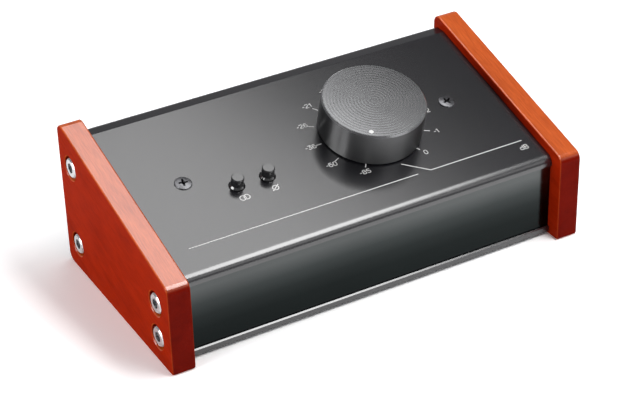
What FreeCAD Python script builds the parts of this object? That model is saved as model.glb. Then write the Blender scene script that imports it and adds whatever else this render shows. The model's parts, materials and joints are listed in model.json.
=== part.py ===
import FreeCAD, Part
import math
import os

# A desktop volume controller: two lacquered wooden cheeks hold an upper and a lower aluminium
# profile, with a front and a rear plate slid into their slots. One knob and two buttons stand on
# the sloped panel. X runs along the width, -Y is the front, Z is up, and the origin is on the
# table under the middle of the box. Sizes are millimetres.

# Cheeks
OVERALL_WIDTH = 190.0
CHEEK_THICKNESS = 10.0
CHEEK_DEPTH = 97.0
CHEEK_FRONT_HEIGHT = 39.5
CHEEK_REAR_HEIGHT = 66.0
CHEEK_FRONT_TOP_RADIUS = 4.0
CHEEK_REAR_TOP_RADIUS = 3.5
CHEEK_REAR_FOOT_RADIUS = 4.0
CHEEK_FRONT_FOOT_RADIUS = 1.2
CHEEK_EDGE_ROUND = 0.7

# Metal profiles
PANEL_DROP = 3.8
FRONT_INSET = 6.0
REAR_INSET = 0.7
WALL = 2.0
NOSE_RADIUS = 4.0
REAR_CREASE_Y = 40.1
REAR_CREASE_RADIUS = 1.0
REAR_BEND_RADIUS = 3.5
FRONT_LIP_HEIGHT = 3.6
FRONT_LIP_THICKNESS = 0.9
REAR_LIP_HEIGHT = 10.0
REAR_LIP_THICKNESS = 1.3
RIB_THICKNESS = 1.2
BASE_CLEARANCE = 1.5
FLOOR_THICKNESS = 1.6
FOOT_LIP_HEIGHT = 2.6
FOOT_LIP_BEVEL_REACH = 0.6
FOOT_LIP_BEVEL_DROP = 0.42
SLOT_FLOOR = 1.0
PLATE_ENGAGEMENT = 1.6
PLATE_CLEARANCE = 0.1
SLOT_END_CLEARANCE = 0.2
FRONT_PLATE_THICKNESS = 1.2
REAR_PLATE_THICKNESS = 1.5

# Screw channels of the profiles, and the cheek screws in them
CHANNEL_DIAMETER = 7.0
CHANNEL_GAP = 0.2
CHANNEL_REAR_STANDOFF = 3.4
FRONT_LOW_CHANNEL_HEIGHT = 11.5
REAR_LOW_CHANNEL_HEIGHT = 12.4
FRONT_HIGH_CHANNEL_DROP = 11.8
REAR_HIGH_CHANNEL_DROP = 10.5
M5 = 5.0
M4 = 4.0
M3 = 3.0
THREAD_CLEARANCE = 0.05
HOLE_CLEARANCE = 0.25
CHEEK_SCREW_LENGTH = 16.0
CAP_HEAD_DIAMETER = 8.5
CAP_HEAD_HEIGHT = 4.0
CAP_HEX = 4.0
CAP_HEX_DEPTH = 2.5
CAP_HEAD_CHAMFER = 0.5
COUNTERBORE_DIAMETER = 10.5
COUNTERBORE_SINK = 0.1
COUNTERBORE_CHAMFER = 0.35

# Panel screws, standoffs and control board
PANEL_SCREW_X = 62.0
PANEL_SCREW_S = 2.4
PANEL_SCREW_HEAD = 7.3
PANEL_SCREW_DOME = 0.75
PANEL_SCREW_RIM = 0.15
PANEL_SCREW_RIM_CHAMFER = 0.3
PANEL_SCREW_LENGTH = 6.6
CROSS_WIDTH = 3.8
CROSS_SLOT = 0.9
CROSS_DEPTH = 1.6
CROSS_MOUTH = 2.2
LEFT_CROSS_TURN = -11.0
RIGHT_CROSS_TURN = 20.0
SEAT_CLEARANCE = 0.02
POST_DIAMETER = 7.0
POST_WALL_BETWEEN = 1.0
BOARD_THICKNESS = 1.6
BOARD_SCREW_HEAD = 5.6
BOARD_SCREW_HEAD_HEIGHT = 2.0
BOARD_SCREW_BITE = 3.6
BOARD_END_MARGIN = 6.0
BOARD_FRONT_S = 22.0
BOARD_GAP = 2.2
RESISTOR_LENGTH = 3.2
RESISTOR_WIDTH = 1.6
RESISTOR_HEIGHT = 0.6
RESISTOR_PITCH = 3.4
RESISTORS_IN_ROW = 4
RESISTOR_ROWS = 2
RESISTOR_ROW_PITCH = 6.4

# Knob and rotary attenuator
KNOB_X = 23.1
KNOB_S = 1.0
KNOB_RADIUS = 21.8
KNOB_TOP = 15.9
KNOB_GAP = 0.5
KNOB_CHAMFER = 0.6
KNOB_POCKET_RADIUS = 10.0
KNOB_POCKET_CLEARANCE = 0.8
KNOB_BORE_ROOF = 2.9
DOT_DIAMETER = 1.9
DOT_DEPTH = 0.5
DOT_RADIUS = 18.9
DOT_ANGLE = -124.0
SHAFT_DIAMETER = 6.0
SHAFT_FIT = 0.04
GRUB_LENGTH = 5.0
GRUB_HEIGHT = 9.0
GRUB_HEX = 1.5
GRUB_HEX_DEPTH = 1.5
BUSH_DIAMETER = 8.0
BUSH_FLANGE_DIAMETER = 11.0
BUSH_FLANGE_THICKNESS = 1.0
BUSH_END = 0.6
WASHER_DIAMETER = 13.0
WASHER_THICKNESS = 0.8
NUT_ACROSS_FLATS = 11.0
NUT_THICKNESS = 2.2
HOUSING_SIDE = 23.0
HOUSING_DEPTH = 9.0
HOUSING_WALL = 1.5
HOUSING_CORNER_RADIUS = 1.5
COVER_THICKNESS = 1.0
ROTOR_DIAMETER = 18.0
ROTOR_THICKNESS = 1.5
ROTOR_GAP = 1.0
SHAFT_END_GAP = 0.5
TERMINAL_DIAMETER = 1.0
TERMINAL_PITCH = 5.0
TERMINAL_COUNT = 3
TERMINAL_ROW_OFFSET = 8.0
TERMINAL_TAIL = 1.5

# Push buttons and their switches
BUTTON_XS = {"left": -42.9, "right": -29.1}
BUTTON_S = -7.0
BUTTON_HOLE_DIAMETER = 6.9
CAP_DIAMETER = 5.3
CAP_HEIGHT = 4.9
CAP_CHAMFER = 0.4
CAP_COLLAR_DIAMETER = 6.3
CAP_COLLAR_TOP = 0.4
CAP_COLLAR_SLOPE_TOP = 1.2
CAP_ROOF = 2.0
BUTTON_TRAVEL = 2.5
TRAVEL_CLEARANCE = 0.4
SWITCH_SIDE = 9.5
SWITCH_HEIGHT = 7.6
SWITCH_WALL = 0.8
STEM_DIAMETER = 2.6
STEM_CLEARANCE = 0.1
STEM_FLANGE_DIAMETER = 6.0
STEM_FLANGE_THICKNESS = 0.8
STEM_FLANGE_GAP = 0.3
SPRING_OUTER_DIAMETER = 4.4
SPRING_INNER_DIAMETER = 3.2

# Rear sockets
SOCKET_HEIGHT = 30.6
SOCKET_END_MARGIN = 19.0
SOCKET_COUNT = 5
FLANGE_WIDTH = 26.0
FLANGE_HEIGHT = 31.0
FLANGE_THICKNESS = 1.8
FLANGE_RADIUS = 2.5
FLANGE_SCREW_DX = 9.5
FLANGE_SCREW_DZ = 12.0
FLANGE_SCREW_HEAD = 5.5
FLANGE_SCREW_LENGTH = 5.5
FLANGE_CROSS_WIDTH = 2.8
FLANGE_CROSS_SLOT = 0.6
FLANGE_CROSS_DEPTH = 0.9
BARREL_DIAMETER = 23.6
BARREL_DEPTH = 24.0
BARREL_CLEARANCE = 0.2
BARREL_BORE = 18.8
INSERT_CLEARANCE = 0.02
CUP_DEPTH = 13.0
PIN_DIAMETER = 2.4
PIN_CIRCLE_RADIUS = 4.4
PIN_LENGTH = 11.0
CORE_DIAMETER = 15.6
CORE_RECESS = 0.6
CONTACT_HOLE_DIAMETER = 2.5
CONTACT_CIRCLE_RADIUS = 4.95
CONTACT_DEPTH = 10.0
JACK_BORE = 6.4
JACK_DEPTH = 20.0
SMALL_JACK_THREAD = 6.0
SMALL_JACK_BORE = 3.6
SMALL_JACK_BORE_DEPTH = 13.0
SMALL_JACK_END = 0.3
SMALL_JACK_NUT_DIAMETER = 8.4
SMALL_JACK_NUT_THICKNESS = 1.5
SMALL_JACK_WIDTH = 9.0
SMALL_JACK_HEIGHT = 8.0
SMALL_JACK_LENGTH = 13.0
SOCKET_BOARD_END_MARGIN = 5.0
SOCKET_BOARD_HALF_HEIGHT = 13.5

# Cable between the boards
HEADER_X = -10.0
HEADER_WIDTH = 16.0
HEADER_DEPTH = 5.0
HEADER_HEIGHT = 4.0
HEADER_DROP = 7.5
CABLE_WIDTH = 14.0
CABLE_THICKNESS = 0.9
CABLE_BEND_RADIUS = 5.0
CABLE_LEVEL_RUN = 7.5

# Places that follow from the sizes above
METAL_LENGTH = OVERALL_WIDTH - 2 * CHEEK_THICKNESS
METAL_END = METAL_LENGTH / 2
SLOPE = math.atan2(CHEEK_REAR_HEIGHT - CHEEK_FRONT_HEIGHT, CHEEK_DEPTH)
PANEL_HEIGHT = (CHEEK_FRONT_HEIGHT + CHEEK_REAR_HEIGHT) / 2 - PANEL_DROP
FRONT = -CHEEK_DEPTH / 2 + FRONT_INSET
REAR = CHEEK_DEPTH / 2 - REAR_INSET
FRONT_SLOT = FRONT + FRONT_LIP_THICKNESS
FRONT_PLATE_BACK = FRONT_SLOT + PLATE_CLEARANCE + FRONT_PLATE_THICKNESS
FRONT_RIB = FRONT_PLATE_BACK + PLATE_CLEARANCE
REAR_SLOT = REAR - REAR_LIP_THICKNESS
REAR_PLATE_OUT = REAR_SLOT - PLATE_CLEARANCE
REAR_PLATE_IN = REAR_PLATE_OUT - REAR_PLATE_THICKNESS
REAR_RIB = REAR_PLATE_IN - PLATE_CLEARANCE
SLOT_BOTTOM = BASE_CLEARANCE + SLOT_FLOOR
BOARD_TOP = -WALL - HOUSING_DEPTH - COVER_THICKNESS
BOARD_UNDER = BOARD_TOP - BOARD_THICKNESS
SOCKET_BOARD_REAR = REAR_PLATE_OUT - BARREL_DEPTH
SOCKET_BOARD_FRONT = SOCKET_BOARD_REAR - BOARD_THICKNESS
BUSH_TOP = WASHER_THICKNESS + NUT_THICKNESS + BUSH_END
POCKET_ROOF = BUSH_TOP + KNOB_POCKET_CLEARANCE
SWITCH_TOP = BOARD_TOP + SWITCH_HEIGHT
STEM_FLANGE_TOP = SWITCH_TOP - SWITCH_WALL - STEM_FLANGE_GAP
STEM_FLANGE_BOTTOM = STEM_FLANGE_TOP - STEM_FLANGE_THICKNESS

# Longer than any cut needs to be
PAST = 400.0
# How far a cut runs past the face that it opens
OVERCUT = 1.0


def vector(x, y, z):
    return FreeCAD.Vector(x, y, z)


def panel_surface(y):
    """Height of the panel's outer face over the table at depth y."""
    return PANEL_HEIGHT + math.tan(SLOPE) * y


def on_panel(shape):
    """Sets a shape drawn in panel coordinates (x, s up the slope, h outwards) in its place."""
    placed = shape.copy()
    placed.rotate(vector(0, 0, 0), vector(1, 0, 0), math.degrees(SLOPE))
    placed.translate(vector(0, 0, PANEL_HEIGHT))
    return placed


def box(x0, x1, y0, y1, z0, z1):
    return Part.makeBox(x1 - x0, y1 - y0, z1 - z0, vector(x0, y0, z0))


def rod(diameter, x, y, z0, z1):
    """Upright cylinder from z0 to z1."""
    return Part.makeCylinder(diameter / 2, z1 - z0, vector(x, y, z0), vector(0, 0, 1))


def rod_x(diameter, y, z, x0, x1):
    return Part.makeCylinder(diameter / 2, x1 - x0, vector(x0, y, z), vector(1, 0, 0))


def rod_y(diameter, x, z, y0, y1):
    return Part.makeCylinder(diameter / 2, y1 - y0, vector(x, y0, z), vector(0, 1, 0))


def fused(first, *others):
    return first.multiFuse(list(others)).removeSplitter()


def unit(a, b):
    length = math.hypot(b[0] - a[0], b[1] - a[1])
    return ((b[0] - a[0]) / length, (b[1] - a[1]) / length)


def side_profile(corners, x0, x1):
    """Prism along X over a closed outline of (y, z, corner radius) points."""
    edges = []
    joints = []
    for index, (y, z, radius) in enumerate(corners):
        before = corners[index - 1]
        after = corners[(index + 1) % len(corners)]
        back = unit((y, z), before)
        ahead = unit((y, z), after)
        if radius == 0:
            joints.append(((y, z), None, (y, z)))
            continue
        opening = math.acos(back[0] * ahead[0] + back[1] * ahead[1])
        reach = radius / math.tan(opening / 2)
        start = (y + back[0] * reach, z + back[1] * reach)
        end = (y + ahead[0] * reach, z + ahead[1] * reach)
        middle_way = unit((0, 0), (back[0] + ahead[0], back[1] + ahead[1]))
        sag = radius / math.sin(opening / 2) - radius
        joints.append((start, (y + middle_way[0] * sag, z + middle_way[1] * sag), end))
    for index, (start, middle, end) in enumerate(joints):
        if middle is not None:
            edges.append(Part.Arc(vector(x0, *start), vector(x0, *middle), vector(x0, *end)).toShape())
        following = joints[(index + 1) % len(joints)][0]
        if math.dist(end, following) > 1e-6:
            edges.append(Part.makeLine(vector(x0, *end), vector(x0, *following)))
    return Part.Face(Part.Wire(edges)).extrude(vector(x1 - x0, 0, 0))


def turned(points):
    """Solid of revolution about Z from (radius, height) points."""
    wire = Part.makePolygon([vector(r, 0, h) for r, h in points + points[:1]])
    return Part.Face(wire).revolve(vector(0, 0, 0), vector(0, 0, 1), 360)


def hexagon_rod(across_flats, z0, z1):
    corners = []
    for index in range(7):
        angle = math.radians(60 * index)
        reach = across_flats / 2 / math.cos(math.radians(30))
        corners.append(vector(reach * math.cos(angle), reach * math.sin(angle), z0))
    return Part.Face(Part.makePolygon(corners)).extrude(vector(0, 0, z1 - z0))


def rounded_block(width, depth, height, radius):
    """Block centred on Z, standing on z = 0, with rounded upright edges."""
    block = box(-width / 2, width / 2, -depth / 2, depth / 2, 0, height)
    upright = [edge for edge in block.Edges if abs(edge.Vertexes[0].Z - edge.Vertexes[1].Z) > height / 2]
    return block.makeFillet(radius, upright)


# Screw channels
def channel_places():
    """(y, z) of each cheek screw and of its channel, by name."""
    front_y = FRONT_PLATE_BACK + CHANNEL_GAP + CHANNEL_DIAMETER / 2
    rear_y = REAR_PLATE_IN - CHANNEL_REAR_STANDOFF - CHANNEL_DIAMETER / 2
    return {
        "front_low": (front_y, FRONT_LOW_CHANNEL_HEIGHT),
        "front_high": (front_y, panel_surface(front_y) - FRONT_HIGH_CHANNEL_DROP),
        "rear_low": (rear_y, REAR_LOW_CHANNEL_HEIGHT),
        "rear_high": (rear_y, panel_surface(rear_y) - REAR_HIGH_CHANNEL_DROP),
    }


def channel_tubes(names):
    places = channel_places()
    return [rod_x(CHANNEL_DIAMETER, *places[name], -METAL_END, METAL_END) for name in names]


def channel_bores(names):
    places = channel_places()
    bore = M5 + 2 * THREAD_CLEARANCE
    return [rod_x(bore, *places[name], -METAL_END, METAL_END) for name in names]


# Upper profile
def front_slot_roof():
    return panel_surface(FRONT) - FRONT_LIP_HEIGHT + PLATE_ENGAGEMENT


def rear_slot_roof():
    return panel_surface(REAR) - REAR_LIP_HEIGHT + PLATE_ENGAGEMENT


def top_shell():
    lip_bottom = panel_surface(FRONT) - FRONT_LIP_HEIGHT
    rear_lip_bottom = panel_surface(REAR) - REAR_LIP_HEIGHT
    front_rib_end = FRONT_RIB + RIB_THICKNESS
    rear_rib_end = REAR_RIB - RIB_THICKNESS
    crest = panel_surface(REAR_CREASE_Y)
    outline = [
        (FRONT, lip_bottom, 0),
        (FRONT, panel_surface(FRONT), NOSE_RADIUS),
        (REAR_CREASE_Y, crest, REAR_CREASE_RADIUS),
        (REAR, crest, REAR_BEND_RADIUS),
        (REAR, rear_lip_bottom, 0),
        (rear_rib_end, rear_lip_bottom, 0),
        (front_rib_end, lip_bottom, 0),
    ]
    outside = side_profile(outline, -METAL_END, METAL_END)
    under = WALL / math.cos(SLOPE)
    front_in = FRONT + WALL
    rear_in = REAR - WALL
    crease_in = REAR_CREASE_Y + (under - WALL) / math.tan(SLOPE)
    hollow = [
        (front_in, 0, 0),
        (front_in, panel_surface(front_in) - under, max(NOSE_RADIUS - WALL, 0)),
        (crease_in, crest - WALL, 0),
        (rear_in, crest - WALL, max(REAR_BEND_RADIUS - WALL, 0)),
        (rear_in, 0, 0),
    ]
    skin = outside.cut(side_profile(hollow, -METAL_END, METAL_END))

    places = channel_places()
    front_guide = outside.common(box(-METAL_END, METAL_END, FRONT, front_rib_end, lip_bottom, PAST))
    rear_guide = outside.common(box(-METAL_END, METAL_END, rear_rib_end, REAR, rear_lip_bottom, PAST))
    front_z = places["front_high"][1]
    front_web = box(-METAL_END, METAL_END, FRONT_RIB, front_rib_end, front_z, front_slot_roof())
    rear_y, rear_z = places["rear_high"]
    half_rib = RIB_THICKNESS / 2
    web_top = panel_surface(rear_y) - under
    rear_web = box(-METAL_END, METAL_END, rear_y - half_rib, rear_y + half_rib, rear_z, web_top)
    names = ("front_high", "rear_high")
    shell = fused(skin, front_guide, rear_guide, front_web, rear_web, *channel_tubes(names))

    slots = [
        box(-PAST, PAST, FRONT_SLOT, FRONT_RIB, 0, front_slot_roof()),
        box(-PAST, PAST, REAR_RIB, REAR_SLOT, 0, rear_slot_roof()),
    ]
    holes = [on_panel(rod(BUSH_DIAMETER + 2 * HOLE_CLEARANCE, KNOB_X, KNOB_S, -2 * WALL, OVERCUT))]
    for x in BUTTON_XS.values():
        holes.append(on_panel(rod(BUTTON_HOLE_DIAMETER, x, BUTTON_S, -2 * WALL, OVERCUT)))
    for x in (-PANEL_SCREW_X, PANEL_SCREW_X):
        holes.append(on_panel(countersink(x, PANEL_SCREW_S)))
    return shell.cut(slots + holes + channel_bores(names)).removeSplitter()


def countersink(x, s):
    """Screw hole with a 90 degree countersink open at h = 0."""
    mouth = PANEL_SCREW_HEAD / 2 + SEAT_CLEARANCE
    bore = M4 / 2 + HOLE_CLEARANCE
    cone = Part.makeCone(bore, mouth, mouth - bore, vector(x, s, bore - mouth))
    mouth_rod = rod(2 * mouth, x, s, 0, OVERCUT)
    return cone.fuse(rod(2 * bore, x, s, -2 * WALL, OVERCUT)).fuse(mouth_rod)


# Lower profile
def bottom_shell():
    floor_top = BASE_CLEARANCE + FLOOR_THICKNESS
    lip_top = BASE_CLEARANCE + FOOT_LIP_HEIGHT
    places = channel_places()
    floor = box(-METAL_END, METAL_END, FRONT, REAR, BASE_CLEARANCE, floor_top)
    front_rib_end = FRONT_RIB + RIB_THICKNESS
    rear_rib_end = REAR_RIB - RIB_THICKNESS
    front_guide = side_profile([
        (FRONT, BASE_CLEARANCE, 0),
        (FRONT, lip_top - FOOT_LIP_BEVEL_DROP, 0),
        (FRONT + FOOT_LIP_BEVEL_REACH, lip_top, 0),
        (front_rib_end, lip_top, 0),
        (front_rib_end, BASE_CLEARANCE, 0),
    ], -METAL_END, METAL_END)
    rear_guide = box(-METAL_END, METAL_END, rear_rib_end, REAR, BASE_CLEARANCE, lip_top)
    front_web = box(-METAL_END, METAL_END, FRONT_RIB, front_rib_end, floor_top, places["front_low"][1])
    rear_y, rear_z = places["rear_low"]
    half_rib = RIB_THICKNESS / 2
    rear_web = box(-METAL_END, METAL_END, rear_y - half_rib, rear_y + half_rib, floor_top, rear_z)
    names = ("front_low", "rear_low")
    shell = fused(floor, front_guide, rear_guide, front_web, rear_web, *channel_tubes(names))
    slots = [
        box(-PAST, PAST, FRONT_SLOT, FRONT_RIB, SLOT_BOTTOM, PAST),
        box(-PAST, PAST, REAR_RIB, REAR_SLOT, SLOT_BOTTOM, PAST),
    ]
    return shell.cut(slots + channel_bores(names)).removeSplitter()


# Front and rear plates
def front_plate():
    y0 = FRONT_PLATE_BACK - FRONT_PLATE_THICKNESS
    z0 = SLOT_BOTTOM + SLOT_END_CLEARANCE
    z1 = front_slot_roof() - SLOT_END_CLEARANCE
    return box(-METAL_END, METAL_END, y0, FRONT_PLATE_BACK, z0, z1)


def socket_xs():
    """Centres of the rear sockets, evenly spaced between the end margins."""
    first = -METAL_END + SOCKET_END_MARGIN
    pitch = -2 * first / (SOCKET_COUNT - 1)
    return [first + pitch * index for index in range(SOCKET_COUNT)]


def large_socket_xs():
    """Large sockets by name: inputs on the outside of the row, outputs next to the middle."""
    xs = socket_xs()
    return {"left_input": xs[0], "left_output": xs[1], "right_output": xs[3], "right_input": xs[4]}


def flange_screw_places():
    places = []
    for x in large_socket_xs().values():
        for side in (-1, 1):
            places.append((x + side * FLANGE_SCREW_DX, SOCKET_HEIGHT + side * FLANGE_SCREW_DZ))
    return places


def rear_plate():
    z0 = SLOT_BOTTOM + SLOT_END_CLEARANCE
    z1 = rear_slot_roof() - SLOT_END_CLEARANCE
    plate = box(-METAL_END, METAL_END, REAR_PLATE_IN, REAR_PLATE_OUT, z0, z1)
    y0 = REAR_PLATE_IN - OVERCUT
    y1 = REAR_PLATE_OUT + OVERCUT
    opening = BARREL_DIAMETER + 2 * BARREL_CLEARANCE
    cuts = [rod_y(opening, x, SOCKET_HEIGHT, y0, y1) for x in large_socket_xs().values()]
    cuts.append(rod_y(SMALL_JACK_THREAD + 2 * THREAD_CLEARANCE, 0, SOCKET_HEIGHT, y0, y1))
    for x, z in flange_screw_places():
        cuts.append(rod_y(M3 + 2 * THREAD_CLEARANCE, x, z, y0, y1))
    return plate.cut(cuts)


# Cheeks and their screws
def cheek(side):
    inner = side * METAL_END
    outer = side * OVERALL_WIDTH / 2
    front = -CHEEK_DEPTH / 2
    rear = CHEEK_DEPTH / 2
    outline = [
        (front, 0, CHEEK_FRONT_FOOT_RADIUS),
        (front, CHEEK_FRONT_HEIGHT, CHEEK_FRONT_TOP_RADIUS),
        (rear, CHEEK_REAR_HEIGHT, CHEEK_REAR_TOP_RADIUS),
        (rear, 0, CHEEK_REAR_FOOT_RADIUS),
    ]
    board = side_profile(outline, min(inner, outer), max(inner, outer))
    rims = [edge for edge in board.Edges if edge.BoundBox.XLength < CHEEK_EDGE_ROUND]
    board = board.makeFillet(CHEEK_EDGE_ROUND, rims)
    seat = cheek_seat(side)
    cuts = []
    for y, z in channel_places().values():
        cuts.append(rod_x(M5 + 2 * HOLE_CLEARANCE, y, z, min(inner, outer), max(inner, outer)))
        cuts.append(rod_x(COUNTERBORE_DIAMETER, y, z, min(seat, outer), max(seat, outer)))
        mouth = COUNTERBORE_DIAMETER / 2
        start = vector(outer - side * COUNTERBORE_CHAMFER, y, z)
        depth = COUNTERBORE_CHAMFER
        cuts.append(Part.makeCone(mouth, mouth + depth, depth, start, vector(side, 0, 0)))
    return board.cut(cuts)


def cheek_seat(side):
    """X of the flat at the bottom of the counterbores."""
    return side * (OVERALL_WIDTH / 2 - COUNTERBORE_SINK - CAP_HEAD_HEIGHT)


def cap_screw(length):
    """Socket head cap screw, head seated on z = 0 and shank below it."""
    rim = CAP_HEAD_CHAMFER
    radius = CAP_HEAD_DIAMETER / 2
    shoulder = CAP_HEAD_HEIGHT - rim
    top = CAP_HEAD_HEIGHT
    head = turned([(0, 0), (radius, 0), (radius, shoulder), (radius - rim, top), (0, top)])
    socket = hexagon_rod(CAP_HEX, top - CAP_HEX_DEPTH, top + OVERCUT)
    return head.fuse(rod(M5, 0, 0, -length, 0)).removeSplitter().cut(socket)


def cheek_screws(side):
    screws = []
    for y, z in channel_places().values():
        screw = cap_screw(CHEEK_SCREW_LENGTH)
        screw.rotate(vector(0, 0, 0), vector(0, 1, 0), side * 90)
        screw.translate(vector(cheek_seat(side), y, z))
        screws.append(screw)
    return Part.makeCompound(screws)


# Panel screws, standoffs and control board
def panel_screw(x, s):
    """Raised countersunk screw with a chamfered rim, a low dome and a cross recess."""
    radius = PANEL_SCREW_HEAD / 2
    shank = M4 / 2
    crown = radius - PANEL_SCREW_RIM_CHAMFER
    shoulder = PANEL_SCREW_RIM + PANEL_SCREW_RIM_CHAMFER
    rise = PANEL_SCREW_DOME - shoulder
    sphere_radius = (crown ** 2 + rise ** 2) / (2 * rise)
    ball = Part.makeSphere(sphere_radius, vector(0, 0, PANEL_SCREW_DOME - sphere_radius))
    rim = turned([(0, 0), (radius, 0), (radius, PANEL_SCREW_RIM), (crown, shoulder), (0, shoulder)])
    dome = rim.fuse(ball.common(rod(2 * crown, 0, 0, shoulder, PANEL_SCREW_DOME)))
    cone = Part.makeCone(shank, radius, radius - shank, vector(0, 0, shank - radius))
    body = fused(dome, cone, rod(M4, 0, 0, -PANEL_SCREW_LENGTH, shank - radius))
    bottom = PANEL_SCREW_DOME - CROSS_DEPTH
    wing = CROSS_WIDTH / 2
    half = CROSS_SLOT / 2
    cross = box(-wing, wing, -half, half, bottom, PANEL_SCREW_DOME + OVERCUT)
    cross = cross.fuse(box(-half, half, -wing, wing, bottom, PANEL_SCREW_DOME + OVERCUT))
    mouth_depth = CROSS_MOUTH / 2
    mouth_start = vector(0, 0, PANEL_SCREW_DOME - mouth_depth)
    cross = cross.fuse(Part.makeCone(0, mouth_depth + OVERCUT, mouth_depth + OVERCUT, mouth_start))
    cross.rotate(vector(0, 0, 0), vector(0, 0, 1), LEFT_CROSS_TURN if x < 0 else RIGHT_CROSS_TURN)
    screw = body.cut(cross)
    screw.translate(vector(x, s, 0))
    return screw


def panel_screws():
    screws = [panel_screw(x, PANEL_SCREW_S) for x in (-PANEL_SCREW_X, PANEL_SCREW_X)]
    return on_panel(Part.makeCompound(screws))


def board_posts():
    """Standoffs that hang the control board from the two panel screws."""
    posts = []
    lower_bore_top = BOARD_TOP + BOARD_SCREW_BITE + THREAD_CLEARANCE
    for x in (-PANEL_SCREW_X, PANEL_SCREW_X):
        post = rod(POST_DIAMETER, x, PANEL_SCREW_S, BOARD_TOP, -WALL)
        upper = rod(M4 + 2 * THREAD_CLEARANCE, x, PANEL_SCREW_S, lower_bore_top + POST_WALL_BETWEEN, 0)
        lower = rod(M3 + 2 * THREAD_CLEARANCE, x, PANEL_SCREW_S, BOARD_TOP - OVERCUT, lower_bore_top)
        posts.append(post.cut([upper, lower]))
    return on_panel(Part.makeCompound(posts))


def board_screws():
    screws = []
    for x in (-PANEL_SCREW_X, PANEL_SCREW_X):
        head = rod(BOARD_SCREW_HEAD, x, PANEL_SCREW_S, BOARD_UNDER - BOARD_SCREW_HEAD_HEIGHT, BOARD_UNDER)
        shank = rod(M3, x, PANEL_SCREW_S, BOARD_UNDER, BOARD_TOP + BOARD_SCREW_BITE)
        screws.append(head.fuse(shank).removeSplitter())
    return on_panel(Part.makeCompound(screws))


def terminal_places():
    places = []
    for row in (-TERMINAL_ROW_OFFSET, TERMINAL_ROW_OFFSET):
        for index in range(TERMINAL_COUNT):
            places.append((KNOB_X + (index - (TERMINAL_COUNT - 1) / 2) * TERMINAL_PITCH, KNOB_S + row))
    return places


def main_board():
    end = PANEL_SCREW_X + BOARD_END_MARGIN
    rear_s = (SOCKET_BOARD_FRONT - BOARD_GAP + BOARD_UNDER * math.sin(SLOPE)) / math.cos(SLOPE)
    board = box(-end, end, -BOARD_FRONT_S, rear_s, BOARD_UNDER, BOARD_TOP)
    cuts = []
    for x in (-PANEL_SCREW_X, PANEL_SCREW_X):
        cuts.append(rod(M3 + 2 * HOLE_CLEARANCE, x, PANEL_SCREW_S, BOARD_UNDER, BOARD_TOP))
    for x, s in terminal_places():
        cuts.append(rod(TERMINAL_DIAMETER + 2 * THREAD_CLEARANCE, x, s, BOARD_UNDER, BOARD_TOP))
    return on_panel(board.cut(cuts))


def summing_resistors():
    """Two rows of chip resistors on the board between the buttons and the attenuator."""
    chips = []
    first = BUTTON_XS["right"] + SWITCH_SIDE
    top = BOARD_TOP + RESISTOR_HEIGHT
    for row in range(RESISTOR_ROWS):
        for column in range(RESISTORS_IN_ROW):
            x = first + column * RESISTOR_PITCH
            s = BUTTON_S + row * RESISTOR_ROW_PITCH
            chips.append(box(x, x + RESISTOR_WIDTH, s, s + RESISTOR_LENGTH, BOARD_TOP, top))
    return on_panel(Part.makeCompound(chips))


# Rotary attenuator, drawn about its own axis
def at_knob(shape):
    placed = shape.copy()
    placed.translate(vector(KNOB_X, KNOB_S, 0))
    return on_panel(placed)


def attenuator_housing():
    bottom = -WALL - HOUSING_DEPTH
    outside = rounded_block(HOUSING_SIDE, HOUSING_SIDE, HOUSING_DEPTH, HOUSING_CORNER_RADIUS)
    outside.translate(vector(0, 0, bottom))
    half = HOUSING_SIDE / 2 - HOUSING_WALL
    hollow = box(-half, half, -half, half, bottom - OVERCUT, -WALL - HOUSING_WALL)
    bush_hole = rod(BUSH_DIAMETER + 2 * THREAD_CLEARANCE, 0, 0, bottom, 0)
    return at_knob(outside.cut([hollow, bush_hole]))


def attenuator_cover():
    cover = rounded_block(HOUSING_SIDE, HOUSING_SIDE, COVER_THICKNESS, HOUSING_CORNER_RADIUS)
    cover.translate(vector(0, 0, BOARD_TOP))
    return at_knob(cover)


def attenuator_bush():
    flange_top = -WALL - HOUSING_WALL
    flange = rod(BUSH_FLANGE_DIAMETER, 0, 0, flange_top - BUSH_FLANGE_THICKNESS, flange_top)
    barrel = rod(BUSH_DIAMETER, 0, 0, flange_top, BUSH_TOP)
    bore_bottom = flange_top - BUSH_FLANGE_THICKNESS - OVERCUT
    bore = rod(SHAFT_DIAMETER + 2 * SHAFT_FIT, 0, 0, bore_bottom, BUSH_TOP + OVERCUT)
    return at_knob(flange.fuse(barrel).removeSplitter().cut(bore))


def attenuator_washer():
    disc = rod(WASHER_DIAMETER, 0, 0, 0, WASHER_THICKNESS)
    return at_knob(disc.cut(rod(BUSH_DIAMETER + 2 * THREAD_CLEARANCE, 0, 0, -OVERCUT, PAST)))


def attenuator_nut():
    nut = hexagon_rod(NUT_ACROSS_FLATS, WASHER_THICKNESS, WASHER_THICKNESS + NUT_THICKNESS)
    return at_knob(nut.cut(rod(BUSH_DIAMETER + 2 * THREAD_CLEARANCE, 0, 0, -OVERCUT, PAST)))


def attenuator_terminals():
    tail = BOARD_UNDER - TERMINAL_TAIL
    pins = [rod(TERMINAL_DIAMETER, x, s, tail, BOARD_TOP) for x, s in terminal_places()]
    return on_panel(Part.makeCompound(pins))


def rotor_top():
    return -WALL - HOUSING_WALL - BUSH_FLANGE_THICKNESS - ROTOR_GAP


def attenuator_rotor():
    disc = rod(ROTOR_DIAMETER, 0, 0, rotor_top() - ROTOR_THICKNESS, rotor_top())
    return at_knob(disc.cut(rod(SHAFT_DIAMETER + 2 * SEAT_CLEARANCE, 0, 0, -PAST, 0)))


def attenuator_shaft():
    bottom = -WALL - HOUSING_DEPTH + SHAFT_END_GAP
    return at_knob(rod(SHAFT_DIAMETER, 0, 0, bottom, KNOB_TOP - KNOB_BORE_ROOF))


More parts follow.
